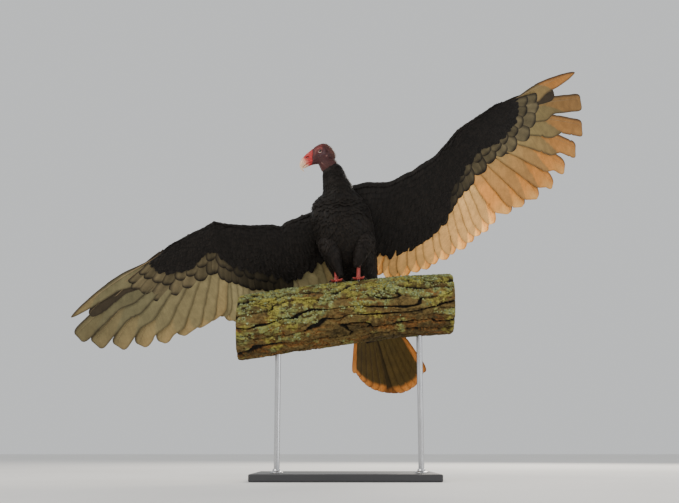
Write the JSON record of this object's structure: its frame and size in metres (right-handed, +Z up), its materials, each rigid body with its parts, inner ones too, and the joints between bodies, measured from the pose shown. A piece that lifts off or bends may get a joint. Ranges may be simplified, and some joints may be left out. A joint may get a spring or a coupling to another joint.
{
  "type": "turkey vulture",
  "caption": "Life-size turkey vulture sunning with open wings, head turned in profile, gripping a short cut branch held on two rods over a flat display base.",
  "frame": {"origin": "on the underside of the stand base, below the middle of the perch", "axes": "+X to the bird's left along the perch, -Y the way the bird faces, +Z up"},
  "size_m": [1.5124, 0.4286, 1.1887],
  "materials": {
    "body_feathers": "blackish-brown contour feathers, matt with a faint sheen",
    "flight_feathers": "grey-brown flight feathers, paler below than above",
    "bare_skin": "bare wrinkled red skin of the head",
    "bill_horn": "ivory horn",
    "eye": "wet dark brown eye",
    "leg_skin": "scaly red legs with dark claws",
    "bark": "furrowed bark with grey-green lichen",
    "stand_base_finish": "satin charcoal paint",
    "stand_rod_steel": "brushed steel"
  },
  "bodies": {
    "root": {"head": "bare_skin", "bill_upper": "bill_horn", "bill_lower": "bill_horn", "eye_left": "eye", "eye_right": "eye", "neck": "body_feathers", "trunk": "body_feathers", "tail": "flight_feathers", "wing_left_upper_arm": "body_feathers", "wing_left_forearm": "body_feathers", "wing_left_hand": "body_feathers", "wing_left_secondaries": "flight_feathers", "wing_left_primaries": "flight_feathers", "leg_left": "body_feathers", "foot_left": "leg_skin", "wing_right_upper_arm": "body_feathers", "wing_right_forearm": "body_feathers", "wing_right_hand": "body_feathers", "wing_right_secondaries": "flight_feathers", "wing_right_primaries": "flight_feathers", "leg_right": "body_feathers", "foot_right": "leg_skin", "perch": "bark", "stand_base": "stand_base_finish", "stand_rod_left": "stand_rod_steel", "stand_rod_right": "stand_rod_steel"}
  },
  "joints": []
}
